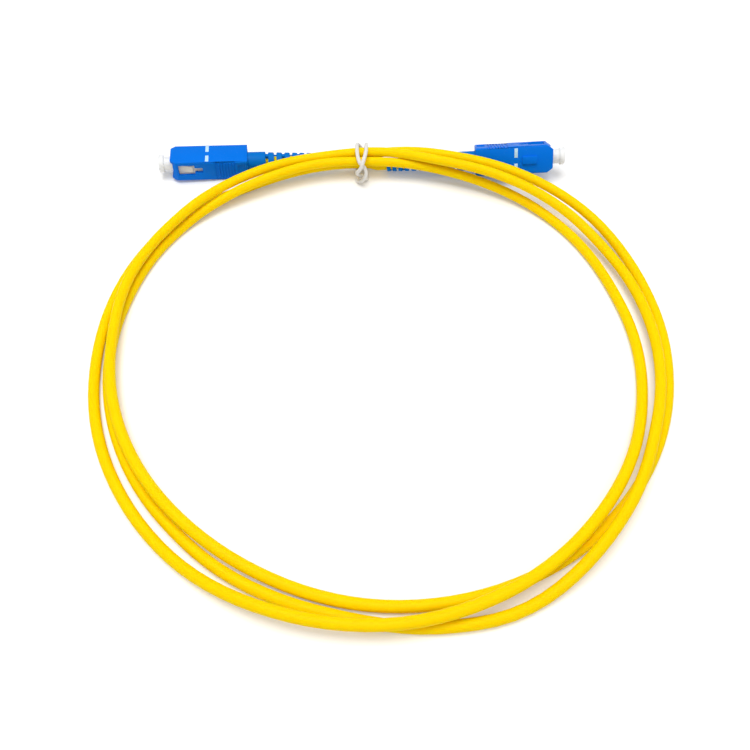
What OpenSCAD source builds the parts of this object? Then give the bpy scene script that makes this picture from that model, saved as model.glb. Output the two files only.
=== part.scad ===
// Simplex fiber optic patch cord: a jacketed cord wound in three loops, tied
// once, with a push-pull plug, tapered boot and dust cap on each end.
// Millimetres, +Z up. The cord lies on z = 0, and the origin is on that surface,
// midway between the two plugs.
// Plug frame: +X runs forward along the ferrule, x = 0 is the rear face of the
// grip housing, and the key is on the +Z face.

/* [Cord] */
// Diameter of the cord's jacket
cord_d = 3; // [2.6:0.1:3.2]
// Clear space kept between neighbouring loops
cord_gap = 0.5; // [0.5:0.1:0.8]
// Mean radius of the wound loops
coil_r = 77; // [74:1:90]
// Diameter of the coated fiber inside the cord
fiber_d = 0.9; // [0.6:0.1:0.9]
// Thickness of the strength yarn folded over the crimp post
yarn_t = 0.15; // [0.1:0.05:0.2]

/* [Tie] */
// Diameter of the tie's strand
tie_d = 1.25; // [1:0.05:1.4]
// Clear space kept between the tie's two strands
tie_gap = 0.6; // [0.5:0.1:0.8]
// Sideways reach of each strand from the middle of the tie
tie_reach = 1.5; // [1.3:0.1:2]

/* [Plug placement] */
// Sideways turn of the first plug, which points left
plug_a_turn = 185.5; // [184:0.1:187]
// Sideways turn of the second plug, which points right
plug_b_turn = -1.2; // [-3:0.1:1]
// Upward tilt of the second plug
plug_b_tilt = 4.9; // [4:0.1:7]
// Roll of the second plug's key face away from straight up
plug_b_roll = 62.5; // [55:0.5:70]

/* [Grip housing] */
// Length of the push-pull grip housing
house_l = 25.2; // [22:0.1:30]
// Width of the housing over its two window sides
house_w = 9; // [8.6:0.1:10]
// Thickness of the housing without its key
house_t = 7.4; // [7.2:0.1:8.4]
// How far the housing pulls back over the frame to unlatch
house_travel = 1.8; // [1:0.1:2]
// Length of the front corner chamfers
nose_l = 1.9; // [1:0.1:2.2]
// Depth of the front corner chamfers
nose_w = 1.5; // [0.8:0.1:1.6]
// Size of the small chamfer along every outer edge
edge_c = 0.35; // [0.2:0.05:0.5]
// Length of the key ridge
key_l = 4.8; // [3:0.1:6]
// Width of the key ridge
key_w = 2.4; // [1.5:0.1:3]
// Height of the key ridge
key_h = 0.7; // [0.4:0.1:1]
// Distance of the key's front end behind the housing's front
key_back = 5.2; // [4:0.1:8]
// Length of the wide part of each latch window
window_l = 5.3; // [4:0.1:6]
// Height of the wide part of each latch window
window_h = 4; // [3:0.1:4.4]
// Length of the narrow rear part of each latch window
window_tail_l = 2.6; // [1:0.1:3]
// Height of the narrow rear part of each latch window
window_tail_h = 1.9; // [1:0.1:2.4]
// Distance of the window behind the housing's front
window_back = 2.5; // [2.3:0.1:4]
// How far the windows sit off the middle, away from the key
window_drop = 0.5; // [0:0.1:0.6]
// Number of grip teeth on each side
tooth_count = 6; // [3:1:8]
// Distance from one grip tooth to the next
tooth_pitch = 0.95; // [0.8:0.05:1.1]
// Depth of the band that the grip teeth stand in
tooth_depth = 0.3; // [0.2:0.05:0.4]

/* [Plug frame] */
// Width of the inner plug frame
frame_w = 6.8; // [6.6:0.1:7]
// Thickness of the inner plug frame
frame_t = 5.4; // [5.2:0.1:5.6]
// Sliding clearance of the housing on the frame, each side
frame_slack = 0.1; // [0.05:0.01:0.15]
// How far the frame's front stands back from the housing's front
frame_recess = 0.6; // [0.3:0.1:1]
// Distance of the frame's rear end ahead of the housing's rear
frame_rear = 3; // [2.8:0.1:3.4]
// Bore of the frame at both ends
frame_bore = 5; // [4.9:0.1:5]
// Hole in the frame's inner shoulder
shoulder_bore = 3.2; // [3:0.1:3.6]
// Thickness of the frame's inner shoulder
shoulder_t = 1.4; // [1:0.1:2]

/* [Ferrule] */
// Diameter of the ceramic ferrule
ferrule_d = 2.5; // [2.5:0.5:2.5]
// Length of the ceramic ferrule
ferrule_l = 10.5; // [9.5:0.1:11]
// How far the ferrule's tip stands ahead of the housing
ferrule_out = 1.9; // [1.4:0.1:2.4]
// How far the ferrule can be pushed back
ferrule_travel = 1; // [0.5:0.1:1.2]
// Diameter of the metal flange behind the ferrule
flange_d = 4.6; // [4.2:0.1:4.7]
// Thickness of the metal flange
flange_t = 2.2; // [1.8:0.1:3]
// Depth of the ferrule's socket in the flange
socket_l = 1.6; // [1.2:0.1:1.8]
// Diameter of the flange's rear tube
stem_d = 3; // [2.6:0.1:3.1]
// Length of the flange's rear tube
stem_l = 5.8; // [5:0.1:6]
// Least reach of the flange's rear tube into the stop ring
stem_in = 0.5; // [0.3:0.1:0.7]

/* [Spring] */
// Wire diameter of the ferrule spring
wire_d = 0.45; // [0.35:0.05:0.5]
// Mean diameter of the ferrule spring
spring_d = 3.9; // [3.8:0.1:4]
// Number of turns of the ferrule spring
spring_turns = 4; // [3:1:4]

/* [Rear body] */
// Length of the stop ring inside the frame
stop_l = 7.7; // [7:0.1:8]
// Diameter of the stop ring's collar
stop_collar_d = 5.4; // [5.2:0.1:5.6]
// Length of the stop ring's collar
stop_collar_l = 1.5; // [1:0.1:1.7]
// Diameter of the crimp post
post_d = 4; // [3.8:0.1:4]
// Length of the crimp post
post_l = 5.5; // [4.5:0.1:6]
// Bore through the crimp post
post_bore = 1.6; // [1.2:0.1:2]
// Wall of the crimp sleeve
sleeve_wall = 0.3; // [0.25:0.05:0.35]
// Length of the crimp sleeve
sleeve_l = 7.2; // [6.5:0.1:8]

/* [Boot] */
// Diameter of the boot's smooth collar
boot_d = 6.2; // [6:0.1:6.3]
// Diameter of the boot at its tip
boot_tip_d = 4; // [3.8:0.1:4.4]
// Length of the smooth collar behind the housing
boot_collar_l = 6; // [5:0.1:8]
// Length of the boot behind the housing
boot_l = 29.5; // [26:0.1:31]
// How far the boot's front reaches into the housing
boot_in = 0.9; // [0.5:0.1:1]
// Number of flexible rings
ring_count = 10; // [7:1:11]
// Width of the first slot between rings
slot_first = 0.95; // [0.8:0.05:1.1]
// Width of the last slot between rings
slot_last = 0.6; // [0.5:0.05:0.8]
// Depth of the round groove at each slot
groove_depth = 0.35; // [0.2:0.05:0.4]
// Width of the two bridges left across each slot
bridge_w = 1.3; // [1:0.1:1.6]

/* [Dust cap] */
// Diameter of the cap's head
cap_head_d = 5.7; // [5.3:0.1:6.2]
// Thickness of the cap's head
cap_head_t = 1.7; // [1.2:0.1:2.2]
// Diameter of the cap's neck
cap_neck_d = 4.7; // [4.4:0.1:4.8]
// How far the whole cap stands ahead of the housing
cap_out = 4.1; // [3.6:0.1:5]
// How far the cap's neck reaches behind the housing's front
cap_in = 5; // [4:0.1:5.2]

/* [Fits] */
// Radial clearance of the cap on the ferrule
cap_fit = 0.02; // [0.01:0.01:0.05]
// Radial clearance of the boot on the cord and on the crimp sleeve
boot_fit = 0.05; // [0.03:0.01:0.1]
// Clearance between parts that slide past or rest near each other
part_gap = 0.1; // [0.05:0.01:0.2]

/* [Hidden] */

housing_blue = [0.02, 0.45, 0.86];
cord_yellow = [0.96, 0.82, 0.05];
frame_ivory = [0.9, 0.89, 0.84];
cap_clear = [0.9, 0.92, 0.93];
metal = [0.72, 0.73, 0.75];
zirconia = [0.97, 0.97, 0.95];

round_n = 48;          // segments of the round plug parts
e = 0.1;               // overshoot of a cut past a face

// Stations along the plug, measured forward from the housing's rear face.
front_x = house_l;
frame_front_x = house_l - frame_recess;
tip_x = house_l + ferrule_out;
ferrule_rear_x = tip_x - ferrule_l;
flange_front_x = ferrule_rear_x + socket_l;
flange_rear_x = flange_front_x - flange_t;
shoulder_x = flange_front_x + part_gap;
stop_front_x = frame_rear + stop_l;
stem_rear_x = min(flange_rear_x - stem_l, stop_front_x - stem_in);
stop_rear_x = frame_rear - stop_collar_l;
post_rear_x = stop_rear_x - post_l;
sleeve_front_x = stop_rear_x - part_gap;
sleeve_rear_x = sleeve_front_x - sleeve_l;
jacket_end_x = post_rear_x - 2 * part_gap;
fiber_front_x = flange_rear_x - 2 * ferrule_travel;
cavity_rear_x = frame_rear - part_gap;
rear_opening_d = boot_d + 0.5;

// Placement of the two plugs: the middle of each housing's rear face. The first
// plug rests on its key and on its housing's rear edge, the second on one corner.
corner_w = house_w / 2;
corner_t = house_t / 2;
plug_a_tilt = atan(key_h / (front_x - key_back - key_l));
plug_a_at = [-38.1, 1.3, corner_t * cos(plug_a_tilt)];
plug_a_pose = [180, -plug_a_tilt, plug_a_turn];
corner_drop = corner_w * sin(plug_b_roll) + (corner_t - edge_c) * cos(plug_b_roll);
plug_b_at = [38.1, -0.3, corner_drop * cos(plug_b_tilt) - edge_c * sin(plug_b_tilt)];
plug_b_pose = [plug_b_roll, -plug_b_tilt, plug_b_turn];

// ---- Functions: vectors, smooth tables and swept tubes ----

function unit(v) = v / norm(v);
function last(v) = v[len(v) - 1];

// Slope at row i of a table of [position, value] rows, flat at peaks and ends.
function table_slope(t, i) =
    i == 0 || i == len(t) - 1 ? 0 :
    let (before = (t[i][1] - t[i - 1][1]) / (t[i][0] - t[i - 1][0]),
         after = (t[i + 1][1] - t[i][1]) / (t[i + 1][0] - t[i][0]))
    before * after <= 0 ? 0 : 2 * before * after / (before + after);

function table_row(t, x, i = 0) =
    i >= len(t) - 2 || x < t[i + 1][0] ? i : table_row(t, x, i + 1);

// Value of the table at x, with no overshoot between rows.
function smooth_table(t, x) =
    let (i = table_row(t, x),
         h = t[i + 1][0] - t[i][0],
         s = min(1, max(0, (x - t[i][0]) / h)))
    (2 * s^3 - 3 * s^2 + 1) * t[i][1] + (s^3 - 2 * s^2 + s) * h * table_slope(t, i)
    + (3 * s^2 - 2 * s^3) * t[i + 1][1] + (s^3 - s^2) * h * table_slope(t, i + 1);

// Distance from point p to the stretch from a to b.
function point_to_stretch(p, a, b) =
    let (s = min(1, max(0, (p - a) * (b - a) / ((b - a) * (b - a)))))
    norm(p - a - s * (b - a));

// Least gap of a tube of diameter d to itself, past a number of neighbours.
function least_gap(points, d, skip) =
    min([for (i = [0 : len(points) - 1]) for (j = [0 : len(points) - 2])
        if (abs(i - j) > skip) point_to_stretch(points[i], points[j], points[j + 1])]) - d;

function path_heading(p, i, closed) =
    let (n = len(p))
    closed ? unit(p[(i + 1) % n] - p[(i + n - 1) % n]) :
    unit(p[min(i + 1, n - 1)] - p[max(i - 1, 0)]);

// One ring of the tube at point i. The ring's first corner points straight down
// from the heading, or along the reference direction where one is given.
function tube_ring(p, i, r, sides, reference, closed) =
    let (heading = path_heading(p, i, closed),
         across = unit(cross(heading, reference)),
         up = cross(across, heading))
    [for (k = [0 : sides - 1])
        let (turn = -90 + 360 * k / sides)
        p[i] + r * (cos(turn) * across + sin(turn) * up)];

// A solid tube swept along a list of points.
module tube(points, d, reference = [0, 0, 1], sides = 6, closed = false) {
    n = len(points);
    rings = closed ? n : n - 1;
    corners = [for (i = [0 : n - 1]) each tube_ring(points, i, d / 2, sides, reference, closed)];
    walls = [for (i = [0 : rings - 1]) for (k = [0 : sides - 1])
        let (here = i * sides, next = ((i + 1) % n) * sides, m = (k + 1) % sides)
        each [[here + k, next + k, next + m], [here + k, next + m, here + m]]];
    start_cap = [for (k = [1 : sides - 2]) [0, k, k + 1]];
    end_cap = [for (k = [1 : sides - 2])
        [(n - 1) * sides, (n - 1) * sides + k + 1, (n - 1) * sides + k]];
    polyhedron(corners, closed ? walls : concat(walls, start_cap, end_cap));
}

// ---- The lay of the cord ----

// Turning a plug-frame point or direction into the part's frame.
function turn_x(v, a) = [v[0], v[1] * cos(a) - v[2] * sin(a), v[1] * sin(a) + v[2] * cos(a)];
function turn_y(v, a) = [v[0] * cos(a) + v[2] * sin(a), v[1], v[2] * cos(a) - v[0] * sin(a)];
function turn_z(v, a) = [v[0] * cos(a) - v[1] * sin(a), v[0] * sin(a) + v[1] * cos(a), v[2]];
function posed(v, at, pose) = at + turn_z(turn_y(turn_x(v, pose[0]), pose[1]), pose[2]);
function in_plug_a_frame(v) = posed(v, plug_a_at, plug_a_pose);
function in_plug_b_frame(v) = posed(v, plug_b_at, plug_b_pose);

coil_at = [6.7, 1.4 - coil_r];      // middle of the loops
lay_pitch = cord_d + cord_gap;  // one lane or one layer of cord
loop_rings = 24;

// Lane of the cord at each angle, clockwise from the tie: 0 is the mean loop,
// +1 is one cord further out. The three loops run from 0 to 1080 degrees.
lanes = [
    [-8, 0.5], [0, 0.4], [15, -0.11], [58, 1.5], [100, 0.65], [182, -0.77], [205, -1.16],
    [222, -1.12], [240, -0.98], [258, -0.69], [270, -0.41], [290, 0.5], [306, 0.82],
    [330, 0.66], [345, 0.28],
    [360, -0.35], [376, -1.2], [382, -1.15], [414, 0.02], [470, -0.22], [490, 0.4],
    [518, 1.38], [530, 0.97], [550, 0.07], [570, -0.22], [586, -0.45], [600, -0.43],
    [640, 0.05], [666, 0.58], [690, -0.6], [705, -0.75],
    [720, -1.3], [736, -1.28], [762, -0.6], [798, -1.42], [828, -1.32], [850, -0.86],
    [880, 0.2], [900, 0.8], [926, 1.08], [962, 0.87], [982, 0.85], [1024, 1.53], [1068, -0.16],
    [1080, -0.25]
];

// Layer of the cord at each angle: 0 lies on the table, 1 lies on another loop.
layers = [
    [-8, 0.65], [0, 1.35], [15, 2.2], [24, 2.25], [80, 0], [194, 0], [226, 1], [302, 1],
    [315, 1.4], [330, 1.55], [345, 1.6],
    [360, 2.04], [376, 2.35], [384, 2.35], [425, 0.8], [440, 0.85], [468, 1], [498, 1],
    [516, 0], [664, 0], [675, 0.5], [690, 1.3], [705, 1.55],
    [720, 1.5], [735, 1.16], [772, 0], [820, 0], [844, 1], [916, 1], [942, 0], [1040, 0],
    [1065, 0.68], [1072, 0.6], [1080, 0.35]
];

function lay_point(a) =
    let (r = coil_r + lay_pitch * smooth_table(lanes, a))
    [coil_at[0] + r * sin(a), coil_at[1] + r * cos(a),
     cord_d / 2 + lay_pitch * smooth_table(layers, a)];

// Angle round the coil of a point, clockwise from the tie.
function lay_angle(p) = atan2(p[0] - coil_at[0], p[1] - coil_at[1]);

cord_start = in_plug_a_frame([jacket_end_x, 0, 0]);
cord_out_a = in_plug_a_frame([-boot_l, 0, 0]);
cord_free_a = in_plug_a_frame([-boot_l - cord_d, 0, 0]);
cord_free_b = in_plug_b_frame([-boot_l - cord_d, 0, 0]);
cord_out_b = in_plug_b_frame([-boot_l, 0, 0]);
cord_end = in_plug_b_frame([jacket_end_x, 0, 0]);

loop_step = 360 / loop_rings;
first_ring = ceil((lay_angle(cord_free_a) + 3) / loop_step);
last_ring = floor((1080 + lay_angle(cord_free_b) - 3) / loop_step);
cord_path = concat(
    [cord_start, cord_out_a, cord_free_a],
    [for (i = [first_ring : last_ring]) lay_point(i * loop_step)],
    [cord_free_b, cord_out_b, cord_end]);
echo(cord_least_gap = least_gap(cord_path, cord_d, 4));
function path_length(p, i = 0) = i >= len(p) - 1 ? 0 : norm(p[i + 1] - p[i]) + path_length(p, i + 1);
echo(cord_length = path_length(cord_path));

module cord_jacket() {
    color(cord_yellow) tube(cord_path, cord_d);
}

// ---- The tie ----

// Section of the tie's loop round the bundle, as [y, z] from tie_at, from the top, down the
// near side, under the bundle and up the far side.
tie_at = [0.3, -0.6];
tie_twist_r = (tie_d + tie_gap) / 2;
tie_section = [
    [1, 10.7], [-2.3, 10.5], [-5.7, 9], [-6.1, 6.1], [-5.5, 3.3],
    [-4, 1.15], [-1.1, 0.83], [2.3, 0.86], [6.9, 2.1], [7.1, 6.4]
];

// Twist of the two strands round each other at each share of one loop.
tie_twist = [[0, 0], [0.2, 90], [0.3, 180], [0.38, 270], [0.47, 360], [0.74, 360], [0.87, 450], [1, 540]];
tie_rings = 24;

// Point of a closed smooth curve through the section's corners, u from 0 to 1.
function closed_curve(c, u) =
    let (n = len(c), k = floor(u * n), s = u * n - k,
         p0 = c[(k + n - 1) % n], p1 = c[k % n], p2 = c[(k + 1) % n], p3 = c[(k + 2) % n])
    0.5 * (2 * p1 + (p2 - p0) * s + (2 * p0 - 5 * p1 + 4 * p2 - p3) * s^2
    + (3 * p1 - p0 - 3 * p2 + p3) * s^3);

function tie_point(turns) =
    let (u = turns - floor(turns),
         twist = 540 * floor(turns) + smooth_table(tie_twist, u),
         here = closed_curve(tie_section, u),
         along = unit(closed_curve(tie_section, (u + 0.01) % 1) - here),
         p = here + tie_twist_r * sin(twist) * [along[1], -along[0]])
    [tie_at[0] + tie_reach * cos(twist), tie_at[1] + p[0], p[1]];

tie_path = [for (i = [0 : 2 * tie_rings - 1]) tie_point(i / tie_rings)];
echo(tie_least_gap = least_gap(tie_path, tie_d, 3));

module twist_tie() {
    color(frame_ivory) tube(tie_path, tie_d, reference = [1, 0, 0], closed = true);
}

// ---- Plug parts, each in the plug frame ----

// A tube or rod along the plug, from x0 to x1.
module rod(d, x0, x1) {
    translate([x0, 0, 0]) rotate([0, 90, 0]) cylinder(d = d, h = x1 - x0, $fn = round_n);
}

// A block from x0 to x1, centred across the plug.
module block(x0, x1, w, t) {
    translate([x0, -w / 2, -t / 2]) cube([x1 - x0, w, t]);
}

// A rectangle with its four corners cut off, in the plane across the plug.
module cut_corner_section(w, t, c) {
    polygon([for (q = [[1, 1], [-1, 1], [-1, -1], [1, -1]])
        each q[0] * q[1] > 0
            ? [[q[0] * w / 2, q[1] * (t / 2 - c)], [q[0] * (w / 2 - c), q[1] * t / 2]]
            : [[q[0] * (w / 2 - c), q[1] * t / 2], [q[0] * w / 2, q[1] * (t / 2 - c)]]]);
}

module along_plug(x0, x1) {
    translate([x0, 0, 0]) rotate([90, 0, 90]) linear_extrude(x1 - x0) children();
}

// The grip housing's outer shape: edge chamfers all along, corners cut at the nose.
module housing_outside() {
    intersection() {
        along_plug(0, front_x) cut_corner_section(house_w, house_t, edge_c);
        translate([0, 0, -house_t])
            linear_extrude(2 * house_t)
                polygon([
                    [0, -house_w / 2 + edge_c], [edge_c, -house_w / 2],
                    [front_x - nose_l, -house_w / 2], [front_x, -house_w / 2 + nose_w],
                    [front_x, house_w / 2 - nose_w], [front_x - nose_l, house_w / 2],
                    [edge_c, house_w / 2], [0, house_w / 2 - edge_c]]);
    }
}

// Grip band with standing teeth, and the finger pocket behind it, on the +Y side.
band_x = 4.1;
band_l = tooth_count * tooth_pitch + 0.8;
tooth_w = 0.45;
pocket = [2.6, 3.4];
module grip_cuts() {
    face = house_w / 2;
    difference() {
        translate([band_x, face - tooth_depth, -house_t])
            cube([band_l, house_w, 2 * house_t]);
        for (i = [0 : tooth_count - 1])
            translate([band_x + 0.4 + i * tooth_pitch, face - tooth_depth - e, 0.8 - house_t / 2])
                cube([tooth_w, tooth_depth + e, house_t - 1.6]);
    }
    translate([0.6, face - tooth_depth, -pocket[1] / 2 - window_drop])
        cube([pocket[0], house_w, pocket[1]]);
}

// Latch window through the +Y wall: a wide part with a narrow tail behind it.
module window_cut() {
    x1 = front_x - window_back;
    x0 = x1 - window_l;
    translate([x0, frame_w / 4, -window_drop - window_h / 2]) cube([window_l, house_w, window_h]);
    translate([x0 - window_tail_l, frame_w / 4, -window_drop - window_tail_h / 2])
        cube([window_tail_l + e, house_w, window_tail_h]);
}

// Stop lugs on the frame, and the longer pockets that they slide in.
lug = [1.2, 2.4, 0.45];
lug_x = 11;
module stop_lugs(grow, run) {
    for (side = [-1, 1])
        translate([lug_x - grow, -lug[1] / 2 - grow, side > 0 ? 0 : -frame_t / 2 - lug[2] - grow])
            cube([lug[0] + 2 * grow + run, lug[1] + 2 * grow, frame_t / 2 + lug[2] + grow]);
}

module grip_housing() {
    color(housing_blue) difference() {
        union() {
            housing_outside();
            translate([front_x - key_back - key_l, -key_w / 2, 0])
                cube([key_l, key_w, house_t / 2 + key_h]);
        }
        block(cavity_rear_x, front_x + e, frame_w + 2 * frame_slack, frame_t + 2 * frame_slack);
        rod(rear_opening_d, -e, cavity_rear_x + e);
        stop_lugs(part_gap, house_travel);
        for (m = [0, 1]) mirror([0, m, 0]) {
            window_cut();
            grip_cuts();
        }
    }
}

// Latch ramp on the frame's side, seen through the window.
ramp = [3, 2.4, 0.45];
module latch_ramp() {
    x1 = front_x - window_back - house_travel + 2 * part_gap;
    translate([0, 0, -window_drop - ramp[1] / 2])
        linear_extrude(ramp[1])
            polygon([[x1 - ramp[0], frame_w / 4], [x1, frame_w / 4], [x1, frame_w / 2],
                     [x1 - ramp[0] + 1, frame_w / 2 + ramp[2]], [x1 - ramp[0], frame_w / 2 + ramp[2]]]);
}

module plug_frame() {
    color(frame_ivory) difference() {
        union() {
            intersection() {
                along_plug(frame_rear, frame_front_x) cut_corner_section(frame_w, frame_t, edge_c);
                translate([0, 0, -frame_t]) linear_extrude(2 * frame_t)
                    polygon([
                        [frame_rear, -frame_w / 2], [frame_front_x - edge_c, -frame_w / 2],
                        [frame_front_x, edge_c - frame_w / 2], [frame_front_x, frame_w / 2 - edge_c],
                        [frame_front_x - edge_c, frame_w / 2], [frame_rear, frame_w / 2]]);
            }
            stop_lugs(0, 0);
            for (m = [0, 1]) mirror([0, m, 0]) latch_ramp();
        }
        rod(frame_bore, frame_rear - e, shoulder_x);
        rod(shoulder_bore, frame_rear, frame_front_x + e);
        rod(frame_bore, shoulder_x + shoulder_t, frame_front_x + e);
    }
}

module ferrule() {
    chamfer = 0.4;
    color(zirconia) translate([ferrule_rear_x, 0, 0]) rotate([0, 90, 0])
        rotate_extrude($fn = round_n)
            polygon([[0, 0], [ferrule_d / 2, 0], [ferrule_d / 2, ferrule_l - chamfer],
                     [ferrule_d / 2 - chamfer, ferrule_l], [0, ferrule_l]]);
}

module ferrule_flange() {
    color(metal) difference() {
        union() {
            rod(flange_d, flange_rear_x, flange_front_x);
            rod(stem_d, stem_rear_x, flange_rear_x + e);
        }
        rod(ferrule_d, ferrule_rear_x, flange_front_x + e);
        rod(fiber_d + 2 * part_gap, stem_rear_x - e, ferrule_rear_x + e);
    }
}

// One unbroken helix whose two ends run straight into their seats.
spring_rings = 8;
spring_x0 = stop_front_x + part_gap;
spring_x1 = flange_rear_x - part_gap;
spring_path = concat(
    [[spring_x0, spring_d / 2, 0]],
    [for (i = [0 : spring_turns * spring_rings])
        let (turn = 360 * i / spring_rings,
             share = i / (spring_turns * spring_rings))
        [spring_x0 + wire_d + share * (spring_x1 - spring_x0 - 2 * wire_d),
         spring_d / 2 * cos(turn), spring_d / 2 * sin(turn)]],
    [[spring_x1, spring_d / 2, 0]]);
echo(spring_least_gap = least_gap(spring_path, wire_d, 4));

module ferrule_spring() {
    color(metal) tube(spring_path, wire_d, reference = [0.02, 1, 0.3]);
}

module stop_ring() {
    color(metal) difference() {
        union() {
            rod(frame_bore - part_gap, frame_rear, stop_front_x);
            rod(stop_collar_d, stop_rear_x, frame_rear);
            rod(post_d, post_rear_x, stop_rear_x + e);
        }
        rod(stem_d + 2 * part_gap, stem_rear_x - ferrule_travel - 5 * part_gap,
            stop_front_x + e);
        rod(post_bore, post_rear_x - e, stop_front_x);
    }
}

module strength_yarn() {
    color(cord_yellow) difference() {
        rod(post_d + 2 * yarn_t, post_rear_x, sleeve_front_x);
        rod(post_d, post_rear_x - e, sleeve_front_x + e);
    }
}

sleeve_bore = post_d + 2 * yarn_t;
module crimp_sleeve() {
    color(metal) difference() {
        rod(sleeve_bore + 2 * sleeve_wall, sleeve_rear_x, sleeve_front_x);
        rod(sleeve_bore, post_rear_x, sleeve_front_x + e);
        rod(cord_d + 2 * boot_fit, sleeve_rear_x - e, post_rear_x + e);
    }
}

module coated_fiber() {
    color(zirconia) rod(fiber_d, jacket_end_x, fiber_front_x);
}

// Boot: a smooth collar, then rings that shrink in width and diameter to the tip.
boot_bore = cord_d + 2 * boot_fit;
boot_socket = sleeve_bore + 2 * sleeve_wall + 2 * boot_fit;
ring_span = boot_l - boot_collar_l;
function boot_share(i) = (i / ring_count) * (1.22 - 0.22 * i / ring_count);
function slot_x(i) = -boot_collar_l - ring_span * boot_share(i);
function slot_w(i) = slot_first + (slot_last - slot_first) * i / (ring_count - 1);
function boot_r(x) =
    (boot_d - 0.4 + (boot_tip_d - boot_d + 0.4) * (-x - boot_collar_l) / ring_span) / 2;

// Outline of the boot's rings, from the collar to the tip.
ring_outline = [for (i = [0 : ring_count - 1])
    let (x0 = slot_x(i) - slot_w(i), x1 = i == ring_count - 1 ? -boot_l : slot_x(i + 1))
    each [
        [-slot_x(i), boot_r(slot_x(i)) - groove_depth], [-x0, boot_r(x0) - groove_depth],
        [-x0, boot_r(x0)], [-x1, boot_r(x1)]]];

module boot() {
    collar_edge = 0.2;
    slot_inset = 0.1;
    color(housing_blue) difference() {
        rotate([0, -90, 0]) rotate_extrude($fn = round_n)
            polygon([for (p = concat(
                [[-boot_in, 0], [-boot_in, boot_d / 2], [boot_collar_l - collar_edge, boot_d / 2],
                 [boot_collar_l, boot_d / 2 - collar_edge]],
                ring_outline, [[boot_l, 0]])) [p[1], p[0]]]);
        rod(boot_bore, -boot_l - e, 0);
        rod(boot_socket, sleeve_rear_x - part_gap, boot_in + e);
        // each slot is cut from two sides, a quarter turn on from the last one
        for (i = [0 : ring_count - 1]) rotate([90 * (i % 2), 0, 0])
            for (side = [-1, 1])
                translate([slot_x(i) - slot_w(i) + slot_inset,
                           side > 0 ? bridge_w / 2 : -boot_d - bridge_w / 2, -boot_d])
                    cube([slot_w(i) - 2 * slot_inset, boot_d, 2 * boot_d]);
    }
}

module dust_cap() {
    lip = 0.3;
    head_x = front_x + cap_out - cap_head_t;
    color(cap_clear) difference() {
        union() {
            rod(cap_neck_d, front_x - cap_in, head_x + e);
            translate([head_x, 0, 0]) rotate([0, 90, 0]) rotate_extrude($fn = round_n)
                polygon([[0, 0], [cap_head_d / 2 - lip, 0], [cap_head_d / 2, lip],
                         [cap_head_d / 2, cap_head_t - lip], [cap_head_d / 2 - lip, cap_head_t],
                         [0, cap_head_t]]);
        }
        rod(ferrule_d + 2 * cap_fit, front_x - cap_in - e, tip_x + 2 * part_gap);
    }
}

// ---- Placement ----

module in_plug_a() {
    translate(plug_a_at) rotate(plug_a_pose) children();
}

module in_plug_b() {
    translate(plug_b_at) rotate(plug_b_pose) children();
}

cord_jacket();
twist_tie();
in_plug_a() grip_housing();  // grip_housing_a
in_plug_a() plug_frame();  // plug_frame_a
in_plug_a() ferrule();  // ferrule_a
in_plug_a() ferrule_flange();  // ferrule_flange_a
in_plug_a() ferrule_spring();  // ferrule_spring_a
in_plug_a() stop_ring();  // stop_ring_a
in_plug_a() crimp_sleeve();  // crimp_sleeve_a
in_plug_a() strength_yarn();  // strength_yarn_a
in_plug_a() coated_fiber();  // coated_fiber_a
in_plug_a() boot();  // boot_a
in_plug_a() dust_cap();  // dust_cap_a
in_plug_b() grip_housing();  // grip_housing_b
in_plug_b() plug_frame();  // plug_frame_b
in_plug_b() ferrule();  // ferrule_b
in_plug_b() ferrule_flange();  // ferrule_flange_b
in_plug_b() ferrule_spring();  // ferrule_spring_b
in_plug_b() stop_ring();  // stop_ring_b
in_plug_b() crimp_sleeve();  // crimp_sleeve_b
in_plug_b() strength_yarn();  // strength_yarn_b
in_plug_b() coated_fiber();  // coated_fiber_b
in_plug_b() boot();  // boot_b
in_plug_b() dust_cap();  // dust_cap_b
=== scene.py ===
import math

import bmesh
import bpy
from bpy.props import FloatProperty, FloatVectorProperty, IntProperty, PointerProperty
from mathutils import Matrix, Vector


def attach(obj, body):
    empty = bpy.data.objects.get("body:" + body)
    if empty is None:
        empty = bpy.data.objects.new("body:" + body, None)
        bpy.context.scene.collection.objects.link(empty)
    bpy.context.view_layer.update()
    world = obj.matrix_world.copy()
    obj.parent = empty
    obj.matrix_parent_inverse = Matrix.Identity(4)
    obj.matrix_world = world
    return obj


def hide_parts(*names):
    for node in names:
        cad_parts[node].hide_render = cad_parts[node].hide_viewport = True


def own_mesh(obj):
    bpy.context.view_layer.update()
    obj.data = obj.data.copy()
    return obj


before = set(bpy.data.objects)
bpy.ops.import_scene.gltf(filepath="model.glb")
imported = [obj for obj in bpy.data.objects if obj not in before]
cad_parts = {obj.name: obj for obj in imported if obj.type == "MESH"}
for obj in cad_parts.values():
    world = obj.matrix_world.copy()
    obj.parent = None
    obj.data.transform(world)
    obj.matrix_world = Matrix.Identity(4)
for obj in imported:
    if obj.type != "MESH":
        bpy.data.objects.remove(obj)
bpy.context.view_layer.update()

bl_info = {
    "name": "Fiber Optic Patch Cord",
    "version": (1, 0),
    "blender": (4, 5, 0),
    "location": "View3D > Sidebar > Patch Cord",
    "description": "Builds a coiled simplex fiber patch cord with its plugs, boots, caps and tie",
    "category": "Object",
}

MM = 0.001
SIDES = ("a", "b")


# ---- Settings ----

def length(name, description, millimetres):
    return FloatProperty(name=name, description=description, default=millimetres * MM,
                         min=0.0, unit="LENGTH", subtype="DISTANCE", precision=5)


def angle(name, description, degrees):
    return FloatProperty(name=name, description=description, default=math.radians(degrees),
                         unit="ROTATION", subtype="ANGLE")


def colour(name, description, rgb):
    return FloatVectorProperty(name=name, description=description, default=rgb, size=3,
                               min=0.0, max=1.0, subtype="COLOR")


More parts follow.
